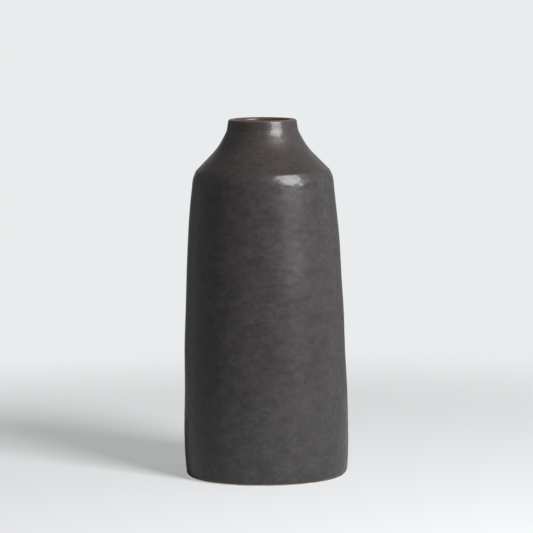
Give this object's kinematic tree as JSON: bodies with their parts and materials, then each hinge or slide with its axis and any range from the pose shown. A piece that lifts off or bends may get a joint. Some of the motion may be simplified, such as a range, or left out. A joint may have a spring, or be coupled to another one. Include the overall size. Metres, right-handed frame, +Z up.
{
  "type": "stoneware vase",
  "caption": "Tall wheel-thrown stoneware bottle vase with a sloping shoulder, short collar neck, rounded lip, dark satin glaze and a bare turned foot.",
  "frame": {"origin": "centre of the foot, on the plane that the vase rests on", "axes": "+Z up along the vase's axis; +X and +Y are any two square directions, since the vase is round"},
  "size_m": [0.174, 0.174, 0.38],
  "materials": {
    "stoneware_clay": "matte",
    "clay_slip": "matte",
    "dark_glaze": "satin",
    "liner_glaze": "gloss"
  },
  "bodies": {
    "root": {"body_section": "stoneware_clay", "shoulder_section": "stoneware_clay", "luting_slip": "clay_slip", "outer_glaze": "dark_glaze", "liner_glaze": "liner_glaze"}
  },
  "joints": []
}
